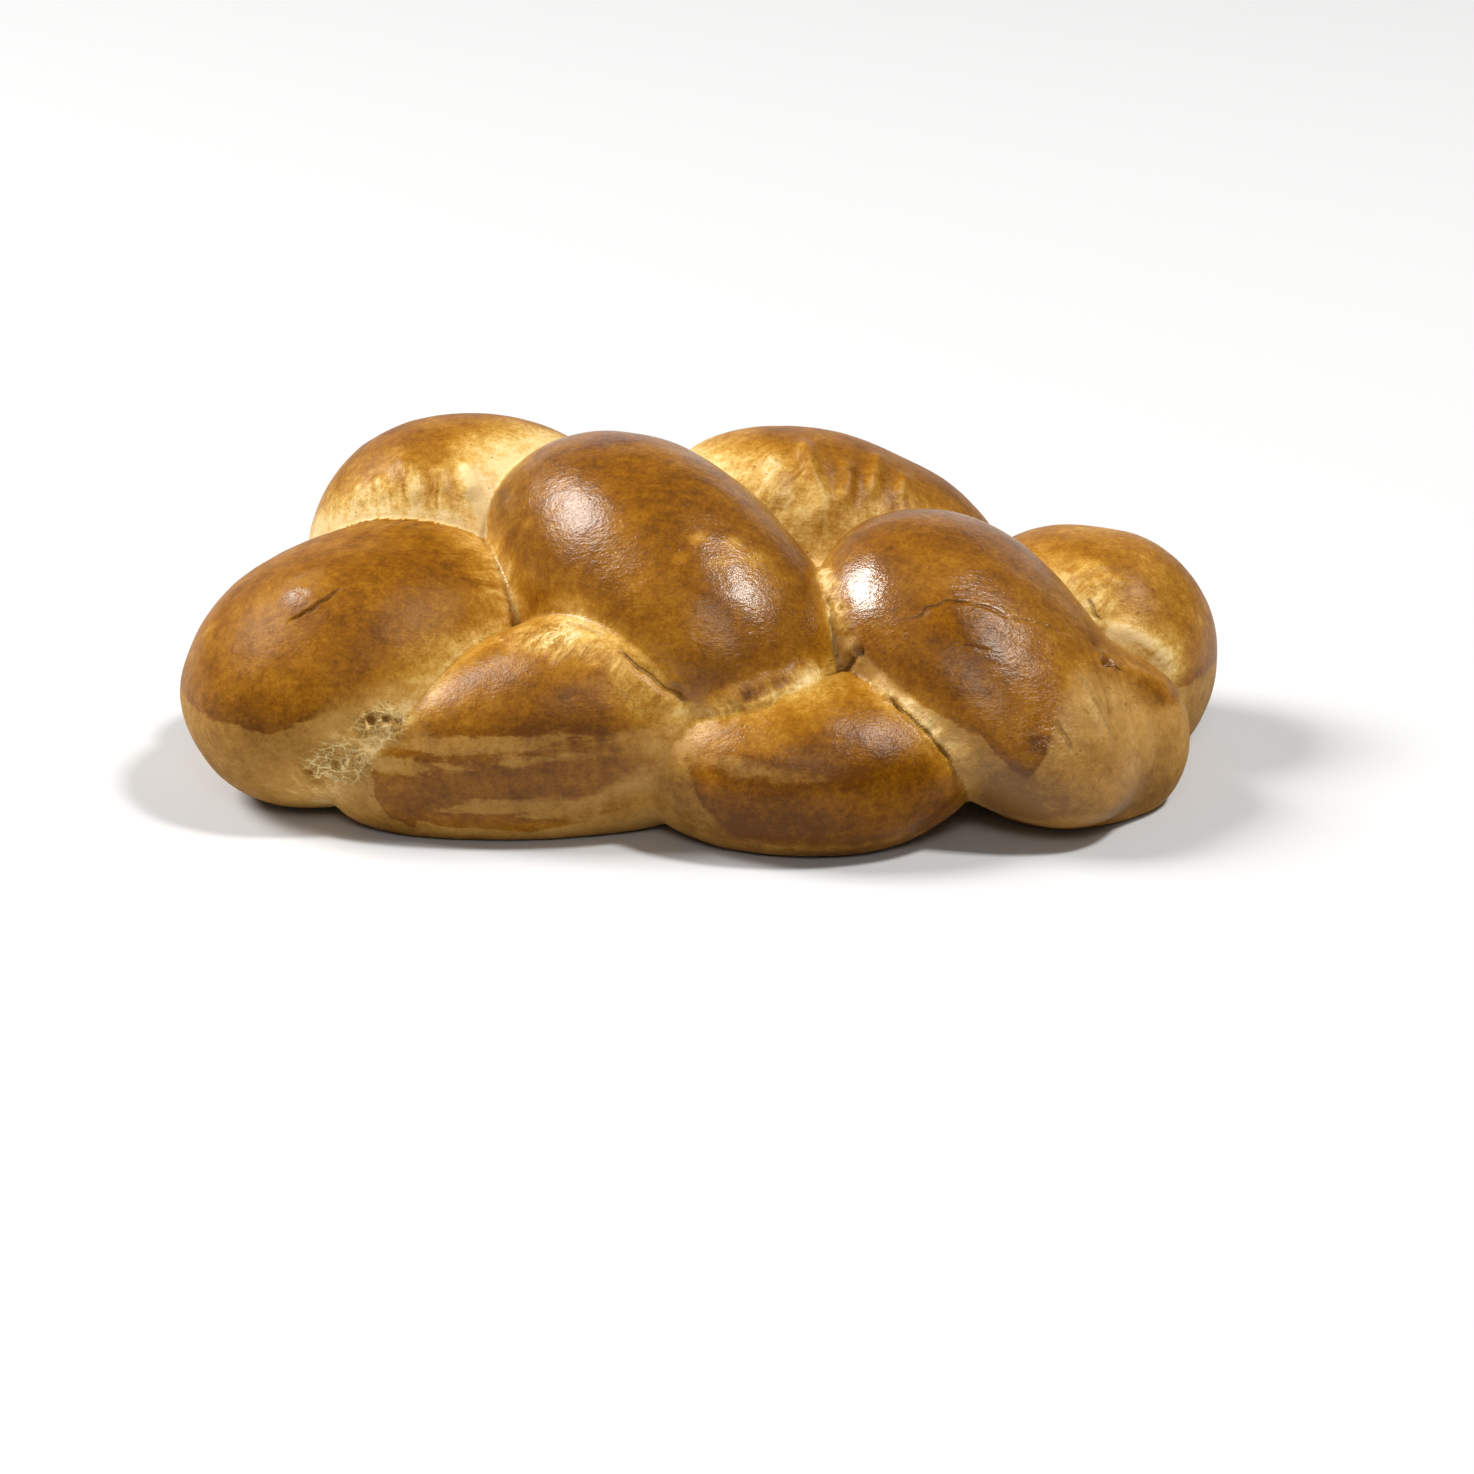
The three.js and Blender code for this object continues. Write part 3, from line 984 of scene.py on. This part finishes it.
def crust_material():
    """Golden-brown egg-washed crust, tan where the brush missed, creamy and torn at the seams."""
    n = Nodes("crust")
    place = n.attribute("place", vector=True)
    bake, wash, torn = n.attribute("bake"), n.attribute("wash"), n.attribute("torn")
    seam_distance = n.math("ABSOLUTE", n.attribute("seam"))
    crack_distance = n.math("ABSOLUTE", n.attribute("crack_offset"))

    patches = n.noise(place, 22, 3, 0.55)
    mottling = n.noise(place, 6, 4, 0.6)
    speckle = n.noise(place, 2.2, 4, 0.65)
    freckles = n.noise(place, 0.9, 3, 0.6)
    brush = n.noise(n.stretched(place, (0.25, 1, 1)), 3.0, 5, 0.65)
    fibres = n.noise(n.stretched(place, (0.5, 1, 1)), 0.9, 3, 0.6)

    # seams have marks along them that wander a little
    wander = n.math("MULTIPLY", n.noise(place, 8, 2), 5)
    wandering = n.shifted(n.attribute("web", vector=True), wander)
    threads = n.noise(n.stretched(wandering, (1, 0.25, 1)), 1.6, 4, 0.65)
    threads = n.math("MULTIPLY", threads, n.attribute("one_seam"))
    striations = n.noise(n.stretched(wandering, (1, 0.12, 1)), 3.4, 5, 0.65)
    pleats = n.math("MULTIPLY", striations, n.attribute("pleated"))

    # a net of fine threads with dark gaps between them
    stirred = n.shifted(place, n.math("MULTIPLY", n.noise(place, 5, 4, 0.6), 8))
    net = n.step(0.16, 0.02, n.cells(stirred, 3.4, "DISTANCE_TO_EDGE"))
    fine_net = n.step(0.12, 0.02, n.cells(stirred, 1.7, "DISTANCE_TO_EDGE"))
    net = n.math("MAXIMUM", net, n.math("MULTIPLY", fine_net, 0.6))
    netting = n.math("MULTIPLY", n.math("SUBTRACT", net, 0.35), n.attribute("netted"))

    # where the egg wash is: a crisp edge that wavers along the brush strokes
    streaks = n.noise(n.stretched(place, (0.16, 1, 1)), 3.4, 5, 0.65)
    edge = n.plus(wash, (mottling, 2.5), (streaks, 6.0))
    washed = n.step(-0.4, 0.8, n.math("DIVIDE", edge, n.attribute("edge_width")))
    rim = n.math("MULTIPLY", n.step(4.5, 0.5, edge), washed)

    # how brown: the bake with its painted shade and light, broken up from broad patches down to freckles,
    # and darker inside the hollows as painted shade
    tone = n.plus(
        bake, (patches, 0.40), (mottling, 0.50), (speckle, 0.48), (brush, 0.22), (freckles, 0.40),
        (rim, 0.10), (pleats, 1.2), (netting, -0.45), (torn, -0.14), (n.attribute("hollow"), 0.35),
    )
    tone = n.plus(tone, (n.math("MULTIPLY", n.math("SUBTRACT", threads, 0.04), torn), 1.7))
    colour = n.mix(washed, n.ramp(tone, BARE_COLOURS), n.ramp(tone, GLAZED_COLOURS))

    # dark lines in the cracks and along the crisp seams: painted shade in these crevices
    ragged = n.math("MULTIPLY", freckles, 0.5)
    crack = n.step(0.8, 0.15, n.math("ADD", crack_distance, ragged))
    crack = n.math("MULTIPLY", crack, n.attribute("crack_strength"))
    colour = n.mix(n.math("MULTIPLY", crack, 0.65), colour, CRACK_SHADE_COLOUR)
    seam_shade = n.step(1.1, 0.1, n.math("ADD", seam_distance, ragged))
    seam_shade = n.math("MULTIPLY", seam_shade, n.step(0.6, 0.0, torn))
    colour = n.mix(n.math("MULTIPLY", seam_shade, 0.12), colour, SEAM_SHADE_COLOUR)

    # sparse dark pores
    pores = n.step(0.16, 0.06, n.cells(place, 3.4))
    pores = n.math("MULTIPLY", pores, n.step(0.02, 0.10, n.noise(place, 9, 2)))
    colour = n.mix(n.math("MULTIPLY", pores, 0.6), colour, PORE_COLOUR)

    n.feed(n.shader.inputs["Base Color"], colour)
    dull = n.plus(n.attribute("roughness"), (mottling, 0.08), (torn, 0.3))
    dull = n.plus(dull, (n.math("SUBTRACT", 1.0, washed), 0.16))
    n.feed(n.shader.inputs["Roughness"], dull)
    n.feed(n.shader.inputs["Specular IOR Level"], n.attribute("shine"))
    n.shader.inputs["Specular Tint"].default_value = WARM_GLINT

    # relief too fine for the mesh, each over the one before
    brushed = n.plus(n.math("MULTIPLY", mottling, 0.3), (brush, 0.5), (pleats, 1.5))
    normal = n.bump(brushed, BRUSHED_RELIEF)
    pored = n.plus(fibres, (speckle, 0.6), (freckles, 0.5), (pores, -0.5))
    normal = n.bump(pored, PORE_RELIEF, before=normal)
    open_threads = n.plus(n.math("MULTIPLY", threads, torn), (netting, 0.5), (crack, -0.5))
    normal = n.bump(open_threads, THREAD_RELIEF, before=normal)
    n.feed(n.shader.inputs["Normal"], normal)
    return n.material


skin.materials.append(crust_material())

# ---------------------------------------------------------------- stage

FLOOR_REACH = 6.0  # metres from the loaf to the floor's edges
FLOOR_COLOUR = (0.61, 0.607, 0.604, 1)
WORLD_STRENGTH = 0.12


def floor_material():
    """An even, dull, pale grey."""
    n = Nodes("floor")
    n.shader.inputs["Base Color"].default_value = FLOOR_COLOUR
    n.shader.inputs["Roughness"].default_value = 0.9
    n.shader.inputs["Specular IOR Level"].default_value = 0.1
    return n.material


floor_corners = [(x * FLOOR_REACH, y * FLOOR_REACH, 0) for x, y in ((-1, -1), (1, -1), (1, 1), (-1, 1))]
floor_mesh = bpy.data.meshes.new("floor")
floor_mesh.from_pydata(floor_corners, [], [(0, 1, 2, 3)])
floor_mesh.materials.append(floor_material())
floor = bpy.data.objects.new("floor", floor_mesh)
bpy.context.scene.collection.objects.link(floor)

world = bpy.data.worlds.new("studio")
bpy.context.scene.world = world
world.use_nodes = True
world.node_tree.nodes["Background"].inputs["Color"].default_value = (1, 1, 1, 1)
world.node_tree.nodes["Background"].inputs["Strength"].default_value = WORLD_STRENGTH


def softbox(name, azimuth, elevation, size, power, distance=4.0):
    """A soft lamp aimed at the loaf, size metres wide and high.

    Its azimuth is in degrees from +Y towards +X, its distance in metres and its power in watts.
    """
    lamp = bpy.data.lights.new(name, "AREA")
    lamp.shape = "RECTANGLE"
    lamp.size, lamp.size_y = size
    lamp.energy = power
    holder = bpy.data.objects.new(name, lamp)
    turn, rise = radians(azimuth), radians(elevation)
    target = Vector((0, 0, 0.05))
    holder.location = target + distance * Vector((sin(turn) * cos(rise), cos(turn) * cos(rise), sin(rise)))
    holder.rotation_euler = (target - holder.location).to_track_quat("-Z", "Y").to_euler()
    holder.visible_camera = False
    bpy.context.scene.collection.objects.link(holder)


softbox("left_softbox", azimuth=-78, elevation=45, size=(1.6, 1.6), power=190)
softbox("right_softbox", azimuth=111, elevation=61, size=(0.55, 0.6), power=125)
softbox("front_softbox", azimuth=180, elevation=42, size=(1.4, 1.0), power=24)
softbox("white_backdrop", azimuth=0, elevation=14, size=(5.0, 1.6), power=18)

# ---------------------------------------------------------------- camera

PHOTO_SIDE = 1474     # pixels
FOCAL_PIXELS = 3850   # the lens's focal length in the same pixels
SENSOR = 36           # mm
CAMERA_PLACE = (-10.6, -1060.4, 425.4)   # mm, in the frame the lobes are laid out in
CAMERA_ANGLES = (68.47, 0.494, -1.37)    # degrees

camera_data = bpy.data.cameras.new("camera")
camera_data.sensor_width = SENSOR
camera_data.lens = FOCAL_PIXELS / PHOTO_SIDE * SENSOR
camera_data.clip_end = 50
camera = bpy.data.objects.new("camera", camera_data)
camera.location = (Vector(CAMERA_PLACE) - Vector((middle[0], middle[1], 0))) * MM
camera.rotation_euler = [radians(angle) for angle in CAMERA_ANGLES]
bpy.context.scene.collection.objects.link(camera)
bpy.context.scene.camera = camera

bpy.context.scene.view_settings.view_transform = "Standard"
